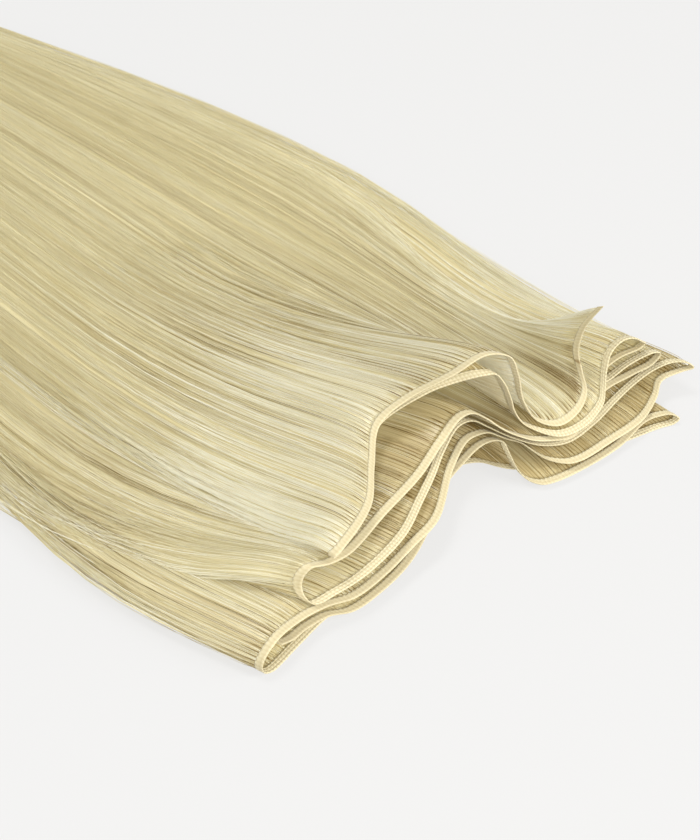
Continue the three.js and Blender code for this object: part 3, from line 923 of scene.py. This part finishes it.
def dressPass(run, looseFinish, packedFinish):
    rng = np.random.default_rng(coat["seed"] + ord(run["letter"]))
    count = coat["counts"][run["letter"]]
    sheetPoints, sheetQuads, sheetTone, sheetMap = packHair(run, rng)
    points, quads, caps, tone, mapped = growHairs(run, count, rng)
    shift = len(sheetPoints)
    faceFinish = np.concatenate([np.ones(len(sheetQuads)), np.zeros(len(quads) + len(caps))])
    piece = meshPiece(
        "hairPass" + run["letter"].upper(),
        np.concatenate([sheetPoints, points]),
        np.concatenate([sheetQuads, quads + shift]),
        caps + shift,
        np.concatenate([sheetTone, tone]),
        np.concatenate([sheetMap, mapped]),
        faceFinish,
        [looseFinish, packedFinish],
    )
    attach(piece, "root")
    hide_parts("hair_run_" + run["letter"])


def dressTop(run, looseFinish):
    rng = np.random.default_rng(coat["seed"] * 3)
    points, quads, caps, tone, mapped = growHairs(run, coat["topCount"], rng)
    faceFinish = np.zeros(len(quads) + len(caps))
    piece = meshPiece("hairTopCoat", points, quads, caps, tone, mapped, faceFinish, [looseFinish])
    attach(piece, "root")
    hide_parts("hair_run_" + run["letter"])


measurePasses()
looseFinish = hairFinish("looseHair", hairLook["streakShare"], 0)
packedStreaks = hairLook["streakShare"] * hairLook["packedStreaks"]
packedFinish = hairFinish("packedHair", packedStreaks, hairLook["gapShade"])
for run in passes:
    dressPass(run, looseFinish, packedFinish)
dressTop(passes[0], looseFinish)
print("hair grown")

# The sewn band: three rows of thread over a woven tape, with a rolled front edge
band = {
    "stationStep": 0.4,
    "outline": (
        (0.0, 0.0), (0.10, 0.18), (0.36, 0.24), (0.62, 0.23), (0.76, 0.14), (0.90, 0.22),
        (1.28, 0.24), (1.66, 0.22), (1.80, 0.14), (1.94, 0.22), (2.26, 0.22), (2.50, 0.0),
    ),
    "stitchRows": ((0.38, 0.30, 1.2), (1.28, 0.36, 1.2), (2.14, 0.30, 1.45)),
    "stitchLift": 0.4,
    "stitchTone": 0.36,
    "seams": ((0.76, 0.12), (1.80, 0.12)),
    "crossStitch": (24, 0.45, 0.7),    # one dark stitch across: its place, width and tone
    "seamTone": 0.22,
    "rim": (0.22, 0.08),       # painted shade: the rolled front edge is a little darker, damping its highlight: its width and tone
    "tone": 0.74,
}

bandLook = {
    "colours": [
        (0.0, (0.250, 0.170, 0.065)),
        (0.45, (0.440, 0.370, 0.212)),
        (0.75, (0.522, 0.458, 0.285)),
        (1.0, (0.600, 0.542, 0.365)),
    ],
    "threads": (2600, 1500),
    "threadDetail": 2,
    "threadShare": 0.3,
    "roughness": 0.62,
    "gloss": 0.35,
    "sheen": 0.15,
    "bump": 0.4,
    "bumpDepth": 0.00012,
}


def bandFinish():
    finish = bpy.data.materials.new("sewnBand")
    finish.use_nodes = True
    nodes, links = finish.node_tree.nodes, finish.node_tree.links
    shader = nodes["Principled BSDF"]
    shader.inputs["Roughness"].default_value = bandLook["roughness"]
    shader.inputs["Specular IOR Level"].default_value = bandLook["gloss"]
    shader.inputs["Sheen Weight"].default_value = bandLook["sheen"]
    tone = nodes.new("ShaderNodeAttribute")
    tone.attribute_name = "tone"
    _, thread = mapNoise(nodes, links, bandLook["threads"], bandLook["threadDetail"])
    centred = nodes.new("ShaderNodeMath")
    centred.operation = "SUBTRACT"
    centred.inputs[1].default_value = 0.5
    scaled = nodes.new("ShaderNodeMath")
    scaled.operation = "MULTIPLY_ADD"
    scaled.inputs[1].default_value = bandLook["threadShare"]
    ramp = colourRamp(nodes, bandLook["colours"])
    bump = nodes.new("ShaderNodeBump")
    bump.inputs["Strength"].default_value = bandLook["bump"]
    bump.inputs["Distance"].default_value = bandLook["bumpDepth"]
    links.new(thread.outputs["Fac"], centred.inputs[0])
    links.new(centred.outputs["Value"], scaled.inputs[0])
    links.new(tone.outputs["Fac"], scaled.inputs[2])
    links.new(scaled.outputs["Value"], ramp.inputs["Fac"])
    links.new(ramp.outputs["Color"], shader.inputs["Base Color"])
    links.new(thread.outputs["Fac"], bump.inputs["Height"])
    links.new(bump.outputs["Normal"], shader.inputs["Normal"])
    return finish


def sewBand():
    outline = np.array(band["outline"])
    under = outline[-2:0:-3] * (1, -1)
    ring = np.concatenate([outline, under])
    pointRows, wayRows = [], []
    for index, run in enumerate(passes):
        count = max(6, int(run["length"] / band["stationStep"]))
        share = np.linspace(0, 1, count, endpoint=index == len(passes) - 1)[:, None]
        reach = np.broadcast_to(ring[:, 0], (count, len(ring)))
        way = run["before"] + share * run["length"]
        height = np.broadcast_to(ring[:, 1], (count, len(ring))).copy()
        for middle, width, pitch in band["stitchRows"]:
            near = np.exp(-((reach - middle) / width) ** 2)
            height = height * (1 + band["stitchLift"] * near * np.cos(2 * np.pi * way / pitch))
        normal = hairNormal(run, share + 0 * reach, reach)
        lifted = normal * height[..., None] * run["upSide"]
        pointRows.append(hairPoint(run, share + 0 * reach, reach) + lifted)
        wayRows.append(np.broadcast_to(way, reach.shape))
    points = np.concatenate(pointRows)
    way = np.concatenate(wayRows)
    points[..., 2] = np.maximum(points[..., 2], 0.0)
    stations, corners = way.shape
    number = np.arange(stations * corners).reshape(stations, corners)
    following = np.roll(number, -1, axis=1)
    quads = np.stack([number[:-1], number[1:], following[1:], following[:-1]], -1).reshape(-1, 4)
    ends = []
    for row, turn in ((0, 1), (-1, -1)):
        for k in range(1, corners - 1):
            ends.append((number[row, 0], number[row, k], number[row, k + 1])[::turn])
    tone = np.full(way.shape, band["tone"])
    for middle, width, pitch in band["stitchRows"]:
        near = np.exp(-((ring[:, 0] - middle) / width) ** 2)
        tone = tone + band["stitchTone"] * near * np.cos(2 * np.pi * way / pitch)
    for middle, width in band["seams"]:
        tone = tone - band["seamTone"] * np.exp(-((ring[:, 0] - middle) / width) ** 2)
    # Painted shade on the rolled front edge
    rimWidth, rimTone = band["rim"]
    tone = tone - rimTone * np.exp(-(ring[:, 0] / rimWidth) ** 2)
    stitchWay, stitchWidth, stitchTone = band["crossStitch"]
    tone = tone - stitchTone * np.exp(-((way - stitchWay) / stitchWidth) ** 2)
    mapped = np.stack([way, np.broadcast_to(ring[:, 0], way.shape)], -1) * mm
    piece = meshPiece(
        "sewnBand", points.reshape(-1, 3), quads, np.array(ends), tone.ravel(), mapped.reshape(-1, 2),
        np.zeros(len(quads) + len(ends)), [bandFinish()],
    )
    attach(piece, "root")
    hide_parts("weft_band")


sewBand()
print("band sewn")
